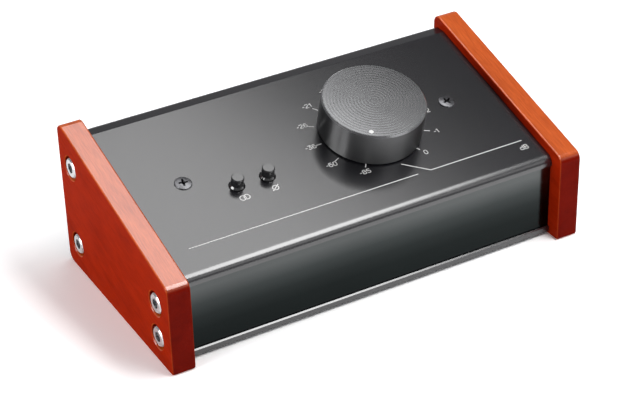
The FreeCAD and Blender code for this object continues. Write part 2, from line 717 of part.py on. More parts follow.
def knob():
    body = turned([
        (0, KNOB_GAP), (KNOB_RADIUS - KNOB_CHAMFER / 2, KNOB_GAP), (KNOB_RADIUS, KNOB_GAP + KNOB_CHAMFER / 2),
        (KNOB_RADIUS, KNOB_TOP - KNOB_CHAMFER), (KNOB_RADIUS - KNOB_CHAMFER, KNOB_TOP), (0, KNOB_TOP),
    ])
    pocket = rod(2 * KNOB_POCKET_RADIUS, 0, 0, 0, POCKET_ROOF)
    bore = rod(SHAFT_DIAMETER + 2 * SEAT_CLEARANCE, 0, 0, 0, KNOB_TOP - KNOB_BORE_ROOF)
    dot_x, dot_s = dot_place()
    dot_seat = rod(DOT_DIAMETER, dot_x, dot_s, KNOB_TOP - DOT_DEPTH, KNOB_TOP + OVERCUT)
    grub_hole = rod_y(M3 + 2 * THREAD_CLEARANCE, 0, GRUB_HEIGHT, 0, KNOB_RADIUS + OVERCUT)
    return at_knob(body.cut([pocket, bore, dot_seat, grub_hole]))


def dot_place():
    angle = math.radians(DOT_ANGLE)
    return DOT_RADIUS * math.cos(angle), DOT_RADIUS * math.sin(angle)


def pointer_dot():
    return at_knob(rod(DOT_DIAMETER, *dot_place(), KNOB_TOP - DOT_DEPTH, KNOB_TOP))


def knob_grub_screw():
    start = SHAFT_DIAMETER / 2
    end = start + GRUB_LENGTH
    screw = rod_y(M3, 0, GRUB_HEIGHT, start, end)
    shaft = rod(SHAFT_DIAMETER, 0, 0, 0, KNOB_TOP)
    key = hexagon_rod(GRUB_HEX, 0, GRUB_HEX_DEPTH + OVERCUT)
    key.rotate(vector(0, 0, 0), vector(1, 0, 0), -90)
    key.translate(vector(0, end - GRUB_HEX_DEPTH, GRUB_HEIGHT))
    return at_knob(screw.cut([shaft, key]))


# Push buttons, each drawn about its own axis
def at_button(side, shape):
    placed = shape.copy()
    placed.translate(vector(BUTTON_XS[side], BUTTON_S, 0))
    return on_panel(placed)


def button_cap(side):
    bottom = SWITCH_TOP + BUTTON_TRAVEL + TRAVEL_CLEARANCE
    radius = CAP_DIAMETER / 2
    collar = CAP_COLLAR_DIAMETER / 2
    cap = turned([
        (0, bottom), (collar, bottom), (collar, CAP_COLLAR_TOP),
        (radius, CAP_COLLAR_SLOPE_TOP), (radius, CAP_HEIGHT - CAP_CHAMFER),
        (radius - CAP_CHAMFER, CAP_HEIGHT), (0, CAP_HEIGHT),
    ])
    return at_button(side, cap.cut(rod(STEM_DIAMETER, 0, 0, bottom - OVERCUT, CAP_HEIGHT - CAP_ROOF)))


def button_stem(side):
    stem = rod(STEM_DIAMETER, 0, 0, STEM_FLANGE_TOP, CAP_HEIGHT - CAP_ROOF)
    flange = rod(STEM_FLANGE_DIAMETER, 0, 0, STEM_FLANGE_BOTTOM, STEM_FLANGE_TOP)
    return at_button(side, stem.fuse(flange).removeSplitter())


def switch_housing(side):
    housing = rounded_block(SWITCH_SIDE, SWITCH_SIDE, SWITCH_HEIGHT, SWITCH_WALL)
    housing.translate(vector(0, 0, BOARD_TOP))
    chamber_diameter = SWITCH_SIDE - 2 * SWITCH_WALL
    chamber = rod(chamber_diameter, 0, 0, BOARD_TOP + SWITCH_WALL, SWITCH_TOP - SWITCH_WALL)
    guide = rod(STEM_DIAMETER + 2 * STEM_CLEARANCE, 0, 0, SWITCH_TOP - 2 * SWITCH_WALL, SWITCH_TOP + OVERCUT)
    return at_button(side, housing.cut([chamber, guide]))


def switch_spring(side):
    bottom = BOARD_TOP + SWITCH_WALL
    outside = rod(SPRING_OUTER_DIAMETER, 0, 0, bottom, STEM_FLANGE_BOTTOM)
    inside = rod(SPRING_INNER_DIAMETER, 0, 0, bottom - OVERCUT, STEM_FLANGE_BOTTOM + OVERCUT)
    return at_button(side, outside.cut(inside))


# Large sockets, drawn about their own axis with the plate's outer face at y = 0
def at_socket(name, shape):
    placed = shape.copy()
    placed.translate(vector(large_socket_xs()[name], REAR_PLATE_OUT, SOCKET_HEIGHT))
    return placed


def socket_shell(name):
    flange = rounded_block(FLANGE_WIDTH, FLANGE_HEIGHT, FLANGE_THICKNESS, FLANGE_RADIUS)
    flange.rotate(vector(0, 0, 0), vector(1, 0, 0), -90)
    barrel = rod_y(BARREL_DIAMETER, 0, 0, -BARREL_DEPTH, 0)
    bore = rod_y(BARREL_BORE, 0, 0, -BARREL_DEPTH - OVERCUT, FLANGE_THICKNESS + OVERCUT)
    cuts = [bore]
    head = FLANGE_SCREW_HEAD / 2 + SEAT_CLEARANCE
    hole = M3 / 2 + HOLE_CLEARANCE
    for side in (-1, 1):
        x = side * FLANGE_SCREW_DX
        z = side * FLANGE_SCREW_DZ
        start = vector(x, FLANGE_THICKNESS - head + hole, z)
        cuts.append(Part.makeCone(hole, head, head - hole, start, vector(0, 1, 0)))
        cuts.append(rod_y(2 * hole, x, z, -OVERCUT, FLANGE_THICKNESS))
    return at_socket(name, flange.fuse(barrel).removeSplitter().cut(cuts))


def pin_places(radius):
    """Three contacts on a circle, one below and two above."""
    return [(radius * math.cos(math.radians(a)), radius * math.sin(math.radians(a))) for a in (-90, 30, 150)]


def input_insert(name):
    """Core of a combined socket: a ring groove, three contact holes and the jack's bore."""
    face = FLANGE_THICKNESS - CORE_RECESS
    floor = FLANGE_THICKNESS - CUP_DEPTH
    base = rod_y(BARREL_BORE - 2 * INSERT_CLEARANCE, 0, 0, -BARREL_DEPTH, floor)
    core = rod_y(CORE_DIAMETER, 0, 0, floor, face)
    cuts = [rod_y(JACK_BORE, 0, 0, FLANGE_THICKNESS - JACK_DEPTH, face + OVERCUT)]
    for x, z in pin_places(CONTACT_CIRCLE_RADIUS):
        cuts.append(rod_y(CONTACT_HOLE_DIAMETER, x, z, face - CONTACT_DEPTH, face + OVERCUT))
    return at_socket(name, base.fuse(core).removeSplitter().cut(cuts))


def output_insert(name):
    """Floor of a pin socket's cup, with a seat for each pin."""
    floor = FLANGE_THICKNESS - CUP_DEPTH
    base = rod_y(BARREL_BORE - 2 * INSERT_CLEARANCE, 0, 0, -BARREL_DEPTH, floor)
    cuts = []
    for x, z in pin_places(PIN_CIRCLE_RADIUS):
        cuts.append(rod_y(PIN_DIAMETER, x, z, -BARREL_DEPTH - OVERCUT, floor + OVERCUT))
    return at_socket(name, base.cut(cuts))


def output_pins(name):
    end = FLANGE_THICKNESS - CUP_DEPTH + PIN_LENGTH
    pins = [rod_y(PIN_DIAMETER, x, z, -BARREL_DEPTH, end) for x, z in pin_places(PIN_CIRCLE_RADIUS)]
    return at_socket(name, Part.makeCompound(pins))


def connector_screws():
    screws = []
    head = FLANGE_SCREW_HEAD / 2
    shank = M3 / 2
    wing = FLANGE_CROSS_WIDTH / 2
    half = FLANGE_CROSS_SLOT / 2
    for x, z in flange_screw_places():
        start = vector(x, REAR_PLATE_OUT + FLANGE_THICKNESS - head + shank, z)
        cone = Part.makeCone(shank, head, head - shank, start, vector(0, 1, 0))
        end = REAR_PLATE_OUT + FLANGE_THICKNESS - FLANGE_SCREW_LENGTH
        y0 = REAR_PLATE_OUT + FLANGE_THICKNESS - FLANGE_CROSS_DEPTH
        cross = box(x - wing, x + wing, y0, y0 + PAST, z - half, z + half)
        cross = cross.fuse(box(x - half, x + half, y0, y0 + PAST, z - wing, z + wing))
        screws.append(cone.fuse(rod_y(M3, x, z, end, start.y)).removeSplitter().cut(cross))
    return Part.makeCompound(screws)


# Small stereo jack in the middle of the row
def stereo_jack():
    half_width = SMALL_JACK_WIDTH / 2
    half_height = SMALL_JACK_HEIGHT / 2
    y0 = REAR_PLATE_IN - SMALL_JACK_LENGTH
    z0 = SOCKET_HEIGHT - half_height
    z1 = SOCKET_HEIGHT + half_height
    body = box(-half_width, half_width, y0, REAR_PLATE_IN, z0, z1)
    end = REAR_PLATE_OUT + SMALL_JACK_NUT_THICKNESS + SMALL_JACK_END
    thread = rod_y(SMALL_JACK_THREAD, 0, SOCKET_HEIGHT, REAR_PLATE_IN, end)
    bore = rod_y(SMALL_JACK_BORE, 0, SOCKET_HEIGHT, end - SMALL_JACK_BORE_DEPTH, end + OVERCUT)
    return body.fuse(thread).removeSplitter().cut(bore)


def stereo_jack_nut():
    y0 = REAR_PLATE_OUT
    y1 = REAR_PLATE_OUT + SMALL_JACK_NUT_THICKNESS
    ring = rod_y(SMALL_JACK_NUT_DIAMETER, 0, SOCKET_HEIGHT, y0, y1)
    hole_diameter = SMALL_JACK_THREAD + 2 * THREAD_CLEARANCE
    return ring.cut(rod_y(hole_diameter, 0, SOCKET_HEIGHT, y0 - OVERCUT, y1 + OVERCUT))


# Connector board and the cable to the control board
def socket_board():
    end = METAL_END - SOCKET_BOARD_END_MARGIN
    z0 = SOCKET_HEIGHT - SOCKET_BOARD_HALF_HEIGHT
    z1 = SOCKET_HEIGHT + SOCKET_BOARD_HALF_HEIGHT
    return box(-end, end, SOCKET_BOARD_FRONT, SOCKET_BOARD_REAR, z0, z1)


def lower_header_end():
    """(y, z) where the cable enters the header on the connector board."""
    return SOCKET_BOARD_FRONT - HEADER_HEIGHT, SOCKET_HEIGHT - HEADER_DROP


def cable_corner():
    """(y, z) where the cable turns from square to the control board to level."""
    y, z = lower_header_end()
    return y - CABLE_LEVEL_RUN, z


def upper_header_s():
    """Place up the slope of the header under the control board, square above the cable's corner."""
    y, z = cable_corner()
    return y * math.cos(SLOPE) + (z - PANEL_HEIGHT) * math.sin(SLOPE)


def upper_header_end():
    """(y, z) where the cable leaves the header under the control board."""
    s = upper_header_s()
    h = BOARD_UNDER - HEADER_HEIGHT
    y = s * math.cos(SLOPE) - h * math.sin(SLOPE)
    return y, PANEL_HEIGHT + s * math.sin(SLOPE) + h * math.cos(SLOPE)


def board_headers():
    x0 = HEADER_X - HEADER_WIDTH / 2
    x1 = HEADER_X + HEADER_WIDTH / 2
    half = HEADER_DEPTH / 2
    s = upper_header_s()
    upper = on_panel(box(x0, x1, s - half, s + half, BOARD_UNDER - HEADER_HEIGHT, BOARD_UNDER))
    y1, z = lower_header_end()
    lower = box(x0, x1, y1, SOCKET_BOARD_FRONT, z - half, z + half)
    return Part.makeCompound([upper, lower])


def ribbon_cable():
    """Flat cable that drops square from the upper header and bends back into the lower one."""
    y0, z0 = upper_header_end()
    y1, z1 = lower_header_end()
    corner_y = cable_corner()[0]
    half = CABLE_THICKNESS / 2
    widen = half * math.tan((math.pi / 2 - SLOPE) / 2)
    side = (half * math.cos(SLOPE), half * math.sin(SLOPE))
    inner = (corner_y + widen, z1 + half, CABLE_BEND_RADIUS - half)
    outer = (corner_y - widen, z1 - half, CABLE_BEND_RADIUS + half)
    outline = [
        (y0 - side[0], z0 - side[1], 0), outer, (y1, z1 - half, 0),
        (y1, z1 + half, 0), inner, (y0 + side[0], z0 + side[1], 0),
    ]
    return side_profile(outline, HEADER_X - CABLE_WIDTH / 2, HEADER_X + CABLE_WIDTH / 2)


def all_pieces():
    pieces = {
        "top_shell": top_shell(),
        "bottom_shell": bottom_shell(),
        "front_plate": front_plate(),
        "rear_plate": rear_plate(),
        "left_cheek": cheek(-1),
        "right_cheek": cheek(1),
        "left_cheek_screws": cheek_screws(-1),
        "right_cheek_screws": cheek_screws(1),
        "panel_screws": panel_screws(),
        "board_posts": board_posts(),
        "board_screws": board_screws(),
        "main_board": main_board(),
        "summing_resistors": summing_resistors(),
        "attenuator_housing": attenuator_housing(),
        "attenuator_cover": attenuator_cover(),
        "attenuator_bush": attenuator_bush(),
        "attenuator_washer": attenuator_washer(),
        "attenuator_nut": attenuator_nut(),
        "attenuator_terminals": attenuator_terminals(),
        "attenuator_rotor": attenuator_rotor(),
        "attenuator_shaft": attenuator_shaft(),
        "knob": knob(),
        "pointer_dot": pointer_dot(),
        "knob_grub_screw": knob_grub_screw(),
        "connector_screws": connector_screws(),
        "stereo_jack": stereo_jack(),
        "stereo_jack_nut": stereo_jack_nut(),
        "socket_board": socket_board(),
        "board_headers": board_headers(),
        "ribbon_cable": ribbon_cable(),
    }
    for side in BUTTON_XS:
        pieces[side + "_button_cap"] = button_cap(side)
        pieces[side + "_button_stem"] = button_stem(side)
        pieces[side + "_switch_housing"] = switch_housing(side)
        pieces[side + "_switch_spring"] = switch_spring(side)
    for side in ("left", "right"):
        pieces[side + "_input_shell"] = socket_shell(side + "_input")
        pieces[side + "_input_insert"] = input_insert(side + "_input")
        pieces[side + "_output_shell"] = socket_shell(side + "_output")
        pieces[side + "_output_insert"] = output_insert(side + "_output")
        pieces[side + "_output_pins"] = output_pins(side + "_output")
    return pieces


os.makedirs("parts", exist_ok=True)
for name, shape in all_pieces().items():
    if not shape.isValid() or not shape.Solids:
        raise RuntimeError(name + " isn't a valid solid")
    shape.exportStep("parts/" + name + ".step")
    print(name, len(shape.Solids), "solids", round(shape.Volume, 1), "mm3")
print("knob axis", on_panel(Part.Vertex(KNOB_X, KNOB_S, 0)).Point)
for side, x in BUTTON_XS.items():
    spring_end = on_panel(Part.Vertex(x, BUTTON_S, BOARD_TOP + SWITCH_WALL)).Point
    print(side, "button at", on_panel(Part.Vertex(x, BUTTON_S, 0)).Point, "spring end", spring_end)
print("panel normal", 0.0, round(-math.sin(SLOPE), 5), round(math.cos(SLOPE), 5))
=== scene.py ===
import json
import math

import bmesh
import bpy
from mathutils import Matrix, Vector


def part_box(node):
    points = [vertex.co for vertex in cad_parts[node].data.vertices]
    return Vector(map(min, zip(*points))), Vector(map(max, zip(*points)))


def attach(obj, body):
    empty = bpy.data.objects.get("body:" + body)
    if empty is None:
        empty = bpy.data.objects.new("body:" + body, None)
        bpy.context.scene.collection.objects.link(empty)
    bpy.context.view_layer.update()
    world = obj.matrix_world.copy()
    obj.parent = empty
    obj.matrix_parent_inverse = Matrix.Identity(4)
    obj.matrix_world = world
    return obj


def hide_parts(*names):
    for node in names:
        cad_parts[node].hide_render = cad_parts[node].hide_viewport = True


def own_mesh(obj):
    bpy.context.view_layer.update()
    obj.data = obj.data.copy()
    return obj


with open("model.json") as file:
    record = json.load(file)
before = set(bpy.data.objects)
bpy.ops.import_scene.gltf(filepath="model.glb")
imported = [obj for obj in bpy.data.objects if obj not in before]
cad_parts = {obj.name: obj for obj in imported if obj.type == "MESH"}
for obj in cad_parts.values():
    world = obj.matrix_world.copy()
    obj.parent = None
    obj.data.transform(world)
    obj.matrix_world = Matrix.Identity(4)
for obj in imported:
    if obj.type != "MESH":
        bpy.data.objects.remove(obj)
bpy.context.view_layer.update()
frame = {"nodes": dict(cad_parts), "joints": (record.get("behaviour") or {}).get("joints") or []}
nodes = frame["nodes"]


# Camera
# It stands in front of the box, to its left and above it, as in the photograph, and is rolled
# by the small angle that the box's edges show there. Its lens is long, so the sides stay square.
CAMERA_AZIMUTH = math.radians(-29.28)
CAMERA_ELEVATION = math.radians(32.55)
CAMERA_ROLL = math.radians(-1.43)
CAMERA_DISTANCE = 0.81684
CAMERA_TARGET = Vector((0.0, 0.0, 0.015))
LENS = 110.24
SENSOR_WIDTH = 36.0
TARGET_PIXEL = (323.66, 215.37)
IMAGE_SIZE = (640, 400)

backwards = Vector((
    math.sin(CAMERA_AZIMUTH) * math.cos(CAMERA_ELEVATION),
    -math.cos(CAMERA_AZIMUTH) * math.cos(CAMERA_ELEVATION),
    math.sin(CAMERA_ELEVATION),
))
level_right = backwards.cross(Vector((0, 0, -1))).normalized()
level_up = backwards.cross(level_right)
right = math.cos(CAMERA_ROLL) * level_right + math.sin(CAMERA_ROLL) * level_up
up = math.cos(CAMERA_ROLL) * level_up - math.sin(CAMERA_ROLL) * level_right
camera_data = bpy.data.cameras.new("camera")
camera_data.lens = LENS
camera_data.sensor_width = SENSOR_WIDTH
camera_data.shift_x = (IMAGE_SIZE[0] / 2 - TARGET_PIXEL[0]) / IMAGE_SIZE[0]
camera_data.shift_y = (TARGET_PIXEL[1] - IMAGE_SIZE[1] / 2) / IMAGE_SIZE[0]
camera = bpy.data.objects.new("camera", camera_data)
camera.matrix_world = Matrix((
    (right.x, up.x, backwards.x, 0),
    (right.y, up.y, backwards.y, 0),
    (right.z, up.z, backwards.z, 0),
    (0, 0, 0, 1),
))
camera.location = CAMERA_TARGET + backwards * CAMERA_DISTANCE
bpy.context.scene.collection.objects.link(camera)
bpy.context.scene.camera = camera


# Wooden cheeks
# Two boards of close-grained hardwood, 10 mm thick, with routed corners. They are stained a hot
# red-orange and sprayed with clear gloss lacquer, which lies thick and slightly wavy on the wood.
STAIN_LIGHT = (0.66, 0.125, 0.023, 1)
STAIN_MIDDLE = (0.60, 0.105, 0.018, 1)
STAIN_DARK = (0.50, 0.080, 0.013, 1)
# Painted shade: the ends are darker partly from soaking stain and partly as painted shade, and the broad
# faces are darker as painted shade, so the tops stand lighter than the sides.
END_GRAIN_SOAK_AND_SHADE = (0.32, 0.05, 0.04, 1)
BROAD_FACE_PAINTED_SHADE = (0.46, 0.13, 0.09, 1)
PORE_SHADE = (0.78, 0.74, 0.72, 1)
NO_SHADE = (1, 1, 1, 1)
GRAIN_TURN = (math.radians(15.3), 0, 0)
GRAIN_STRETCH = (0.35, 1.0, 0.22)
FIBRE_STRETCH = (0.9, 14.0, 0.9)
GRAIN_PER_METRE = 34.0
FIBRES_PER_METRE = 2200.0
WAVES_PER_METRE = 120.0
FIBRE_RELIEF = 0.00001
LACQUER_RELIEF = 0.00008
LACQUER_ROUGHNESS = 0.17
LACQUER_IOR = 2.0
WOOD_ROUGHNESS = 0.42


def new_material(name):
    """A new material, its node tree and its shader."""
    material = bpy.data.materials.new(name)
    material.use_nodes = True
    tree = material.node_tree
    return material, tree, tree.nodes["Principled BSDF"]


def object_place(tree, scale=(1, 1, 1), turn=(0, 0, 0), centre=(0, 0, 0)):
    """Object coordinates in metres, moved to a centre, turned and scaled."""
    place = tree.nodes.new("ShaderNodeTexCoord")
    mapping = tree.nodes.new("ShaderNodeMapping")
    mapping.vector_type = "TEXTURE"
    mapping.inputs["Location"].default_value = centre
    mapping.inputs["Rotation"].default_value = turn
    mapping.inputs["Scale"].default_value = scale
    tree.links.new(place.outputs["Object"], mapping.inputs["Vector"])
    return mapping.outputs["Vector"]


def colour_ramp(tree, factor, stops):
    """Colour ramp over (position, colour) stops."""
    ramp = tree.nodes.new("ShaderNodeValToRGB")
    while len(ramp.color_ramp.elements) < len(stops):
        ramp.color_ramp.elements.new(0.5)
    for element, (position, colour) in zip(ramp.color_ramp.elements, stops):
        element.position = position
        element.color = colour
    tree.links.new(factor, ramp.inputs["Fac"])
    return ramp.outputs["Color"]


def value_range(tree, value, low, high, from_low=0.0, from_high=1.0):
    """Maps a value to a range."""
    spread = tree.nodes.new("ShaderNodeMapRange")
    spread.inputs["From Min"].default_value = from_low
    spread.inputs["From Max"].default_value = from_high
    spread.inputs["To Min"].default_value = low
    spread.inputs["To Max"].default_value = high
    tree.links.new(value, spread.inputs["Value"])
    return spread.outputs["Result"]


def bumped(tree, shader, height, relief, socket="Normal"):
    """Bump from a height on the shader's normal or coat normal; relief is in metres."""
    bump = tree.nodes.new("ShaderNodeBump")
    bump.inputs["Strength"].default_value = 1.0
    bump.inputs["Distance"].default_value = relief
    tree.links.new(height, bump.inputs["Height"])
    tree.links.new(bump.outputs["Normal"], shader.inputs[socket])


def noise(tree, vector, scale, detail=3.0, roughness=0.5, distortion=0.0):
    """Noise texture over a vector in metres; scale is features per metre."""
    texture = tree.nodes.new("ShaderNodeTexNoise")
    texture.inputs["Scale"].default_value = scale
    texture.inputs["Detail"].default_value = detail
    texture.inputs["Roughness"].default_value = roughness
    texture.inputs["Distortion"].default_value = distortion
    tree.links.new(vector, texture.inputs["Vector"])
    return texture.outputs["Fac"]


def mixed(tree, factor, first, second, blend="MIX"):
    """Colour mix of two outputs or colours by a factor output or number."""
    mix = tree.nodes.new("ShaderNodeMix")
    mix.data_type = "RGBA"
    mix.blend_type = blend
    for index, value in ((0, factor), (6, first), (7, second)):
        if hasattr(value, "is_linked"):
            tree.links.new(value, mix.inputs[index])
        else:
            mix.inputs[index].default_value = value
    return mix.outputs[2]


def facing(tree, axis):
    """How far the surface faces along an object axis, from -1 to 1."""
    surface = tree.nodes.new("ShaderNodeNewGeometry")
    local = tree.nodes.new("ShaderNodeVectorTransform")
    local.vector_type = "NORMAL"
    local.convert_from = "WORLD"
    local.convert_to = "OBJECT"
    along = tree.nodes.new("ShaderNodeVectorMath")
    along.operation = "DOT_PRODUCT"
    along.inputs[1].default_value = axis
    tree.links.new(surface.outputs["True Normal"], local.inputs["Vector"])
    tree.links.new(local.outputs["Vector"], along.inputs[0])
    return along.outputs["Value"]


def absolute(tree, value):
    """The value without its sign."""
    plain = tree.nodes.new("ShaderNodeMath")
    plain.operation = "ABSOLUTE"
    tree.links.new(value, plain.inputs[0])
    return plain.outputs[0]


def dress(node, material):
    """Gives a CAD node one material all over."""
    mesh = nodes[node].data
    mesh.materials.clear()
    mesh.materials.append(material)


def lacquered_wood():
    """Stained wood: its ends darker, partly from soaking stain and partly as painted shade, its broad
    faces darker as painted shade, so the tops stand lighter; most lacquer on top.
    """
    material, tree, shader = new_material("stained_lacquered_wood")
    grain_place = object_place(tree, scale=GRAIN_STRETCH, turn=GRAIN_TURN)
    grain = noise(tree, grain_place, GRAIN_PER_METRE, 4.0, 0.55, 0.6)
    fibre_place = object_place(tree, scale=FIBRE_STRETCH, turn=GRAIN_TURN)
    fibre = noise(tree, fibre_place, FIBRES_PER_METRE, 3.0, 0.6)
    tones = [(0.30, STAIN_DARK), (0.50, STAIN_MIDDLE), (0.72, STAIN_LIGHT)]
    tone = colour_ramp(tree, grain, tones)
    pores = colour_ramp(tree, fibre, [(0.35, PORE_SHADE), (0.62, NO_SHADE)])
    # Painted shade on the ends and broad faces, darker than the tops; on the ends partly real soaked
    # stain.
    end_face = absolute(tree, facing(tree, (0, 1, 0)))
    ends = colour_ramp(tree, end_face, [(0.55, NO_SHADE), (0.90, END_GRAIN_SOAK_AND_SHADE)])
    broad_face = absolute(tree, facing(tree, (1, 0, 0)))
    broad = colour_ramp(tree, broad_face, [(0.45, NO_SHADE), (0.95, BROAD_FACE_PAINTED_SHADE)])
    stained = mixed(tree, 1.0, tone, pores, "MULTIPLY")
    soak_and_painted_shade = mixed(tree, 1.0, ends, broad, "MULTIPLY")
    tree.links.new(mixed(tree, 1.0, stained, soak_and_painted_shade, "MULTIPLY"), shader.inputs["Base Color"])
    shader.inputs["Roughness"].default_value = WOOD_ROUGHNESS
    shader.inputs["Specular IOR Level"].default_value = 0.0
    polish = value_range(tree, facing(tree, (0, 0, 1)), 0.03, 0.85, 0.45, 0.92)
    tree.links.new(polish, shader.inputs["Coat Weight"])
    shader.inputs["Coat Roughness"].default_value = LACQUER_ROUGHNESS
    shader.inputs["Coat IOR"].default_value = LACQUER_IOR
    bumped(tree, shader, fibre, FIBRE_RELIEF)
    wave = noise(tree, object_place(tree), WAVES_PER_METRE, 2.0)
    bumped(tree, shader, wave, LACQUER_RELIEF, socket="Coat Normal")
    return material


cheek_wood = lacquered_wood()
for side in ("left", "right"):
    dress(side + "_cheek", cheek_wood)


# Metal profiles
# Upper and lower aluminium extrusions that run from cheek to cheek. They are finely bead-blasted
# and anodised gunmetal grey, so they look smooth and give soft, wide reflections.
GUNMETAL = (0.005, 0.005, 0.0065, 1)
GUNMETAL_WORN = (0.007, 0.0065, 0.009, 1)
OXIDE_IOR = 1.95
DYE_CLOUDS_PER_METRE = 22.0
BLAST_PER_METRE = 5200.0
BLAST_RELIEF = 0.000004


def dyed_oxide():
    """Black-dyed anodising over a fine blasted grain, with faint clouds in the dye."""
    material, tree, shader = new_material("gunmetal_anodised")
    place = object_place(tree)
    cloud = noise(tree, place, DYE_CLOUDS_PER_METRE, 3.0, 0.6)
    tone = colour_ramp(tree, cloud, [(0.35, GUNMETAL), (0.70, GUNMETAL_WORN)])
    tree.links.new(tone, shader.inputs["Base Color"])
    shader.inputs["IOR"].default_value = OXIDE_IOR
    speckle = noise(tree, place, BLAST_PER_METRE, 2.0, 0.6)
    tree.links.new(value_range(tree, speckle, 0.19, 0.26), shader.inputs["Roughness"])
    bumped(tree, shader, speckle, BLAST_RELIEF)
    return material


panel_metal = dyed_oxide()
for node in ("top_shell", "bottom_shell"):
    dress(node, panel_metal)


# Front plate
# A strip of polished aluminium under dark green-grey anodising, slid into the slots of the two
# profiles. It mirrors the table, and painted shade darkens its colour towards the foot.
PLATE_TINT = (0.104, 0.112, 0.112, 1)
PLATE_DEEP = (0.090, 0.097, 0.097, 1)
# Painted shade: the plate's colour by height, lightest at the head and darkest at the foot.
PLATE_PAINTED_SHADE = [
    (0.10, (0.12, 0.14, 0.14, 1)),
    (0.33, (0.12, 0.14, 0.14, 1)),
    (0.53, (0.19, 0.21, 0.21, 1)),
    (0.73, (0.38, 0.40, 0.40, 1)),
    (0.95, (0.86, 0.85, 0.85, 1)),
]
PAINTED_SHADE_FOOT = 0.002
PAINTED_SHADE_HEAD = 0.032
STREAK_STRETCH = (40.0, 1.0, 1.0)
STREAKS_PER_METRE = 1800.0
STREAK_RELIEF = 0.000002
PLATE_CLOUDS_PER_METRE = 18.0


def polished_plate():
    """Polished and dyed metal with faint streaks along it, and painted shade that darkens it from head to
    foot.
    """
    material, tree, shader = new_material("green_grey_polished")
    streaks = object_place(tree, scale=STREAK_STRETCH)
    line = noise(tree, streaks, STREAKS_PER_METRE, 2.0, 0.6)
    cloud = noise(tree, object_place(tree), PLATE_CLOUDS_PER_METRE, 3.0)
    tone = colour_ramp(tree, cloud, [(0.35, PLATE_DEEP), (0.70, PLATE_TINT)])
    height = tree.nodes.new("ShaderNodeSeparateXYZ")
    tree.links.new(object_place(tree), height.inputs["Vector"])
    # Painted shade, darker towards the foot.
    risen = value_range(tree, height.outputs["Z"], 0.0, 1.0, PAINTED_SHADE_FOOT, PAINTED_SHADE_HEAD)
    painted_shade = colour_ramp(tree, risen, PLATE_PAINTED_SHADE)
    tree.links.new(mixed(tree, 1.0, tone, painted_shade, "MULTIPLY"), shader.inputs["Base Color"])
    shader.inputs["Metallic"].default_value = 1.0
    tree.links.new(value_range(tree, line, 0.10, 0.18), shader.inputs["Roughness"])
    bumped(tree, shader, line, STREAK_RELIEF)
    return material


dress("front_plate", polished_plate())


# Rear plate
# A sheet of aluminium, powder-coated satin black, with the sockets' openings punched in it. Its
# coat has the faint orange peel of baked powder.
POWDER_BLACK = (0.014, 0.014, 0.016, 1)
POWDER_CREST_HIGHLIGHT = (0.026, 0.026, 0.028, 1)
PEEL_PER_METRE = 1500.0
PEEL_RELIEF = 0.00003


def powder_coat():
    """Baked powder with orange peel, its crests painted lighter as a painted highlight."""
    material, tree, shader = new_material("satin_black_powder")
    peel = noise(tree, object_place(tree), PEEL_PER_METRE, 2.0, 0.5)
    # Painted highlight: the peel's crests lighter than its hollows.
    tone = colour_ramp(tree, peel, [(0.30, POWDER_BLACK), (0.75, POWDER_CREST_HIGHLIGHT)])
    tree.links.new(tone, shader.inputs["Base Color"])
    tree.links.new(value_range(tree, peel, 0.38, 0.52), shader.inputs["Roughness"])
    bumped(tree, shader, peel, PEEL_RELIEF)
    return material


dress("rear_plate", powder_coat())


# Screws
# The cheeks are held by bright zinc-plated socket screws. The panel's countersunk cross-recess
# screws are black-nickel plated, and those of the rear sockets are blackened steel.
ZINC = (0.62, 0.62, 0.63, 1)
BLACK_NICKEL = (0.20, 0.20, 0.21, 1)
BLACK_OXIDE = (0.030, 0.030, 0.032, 1)
SCUFFS_PER_METRE = 900.0
SCUFF_SHADE = 0.72
SCUFF_RELIEF = 0.00001


def shaded(colour, share):
    """The colour times a share, with full alpha."""
    return tuple(share * part for part in colour[:3]) + (1,)


def plated_steel(name, colour, roughness):
    """Plated metal with the faint scuffs of a turned or headed piece."""
    material, tree, shader = new_material(name)
    scuff = noise(tree, object_place(tree), SCUFFS_PER_METRE, 4.0, 0.65)
    tone = colour_ramp(tree, scuff, [(0.35, shaded(colour, SCUFF_SHADE)), (0.62, colour)])
    tree.links.new(tone, shader.inputs["Base Color"])
    shader.inputs["Metallic"].default_value = 1.0
    rough = value_range(tree, scuff, roughness - 0.08, roughness + 0.10)
    tree.links.new(rough, shader.inputs["Roughness"])
    bumped(tree, shader, scuff, SCUFF_RELIEF)
    return material


zinc = plated_steel("zinc_plated_steel", ZINC, 0.26)
black_nickel = plated_steel("black_nickel_steel", BLACK_NICKEL, 0.28)
black_oxide = plated_steel("black_oxide_steel", BLACK_OXIDE, 0.40)
for node in ("left_cheek_screws", "right_cheek_screws", "board_screws"):
    dress(node, zinc)
dress("panel_screws", black_nickel)
dress("connector_screws", black_oxide)


# Screen print
# White epoxy ink, a few hundredths of a millimetre thick, printed on the panel before assembly:
# the knob's scale with plain numbers, its leader line and unit, a long rule and two button signs.
INK_WHITE = (0.80, 0.80, 0.79, 1)
INK_THICKNESS = 0.00003
INK_LIFT = 0.00001
INK_SHADE = 0.86
INK_COVER_PER_METRE = 2600.0
INK_RELIEF = 0.000004
KNOB_S = 0.001
SCALE_LABELS = ("-85", "-60", "-36", "-26", "-21", "-16", "-12", "-8", "-5", "-2", "-1", "0")
SCALE_START = math.radians(-124.0)
SCALE_END_STEP = math.radians(-29.6)
SCALE_STEP = math.radians(-25.8)
TICK_INNER = 0.0229
TICK_OUTER = 0.0254
TICK_WIDTH = 0.00036
LABEL_RADIUS = 0.0280
END_SHIFT = -0.0022
FIGURE_WIDTH = 0.00135
FIGURE_HEIGHT = 0.0020
FIGURE_GAP = 0.00062
FIGURE_STROKE = 0.00030
LINE_WIDTH = 0.00036
LINE_CORNER_SIDES = 12
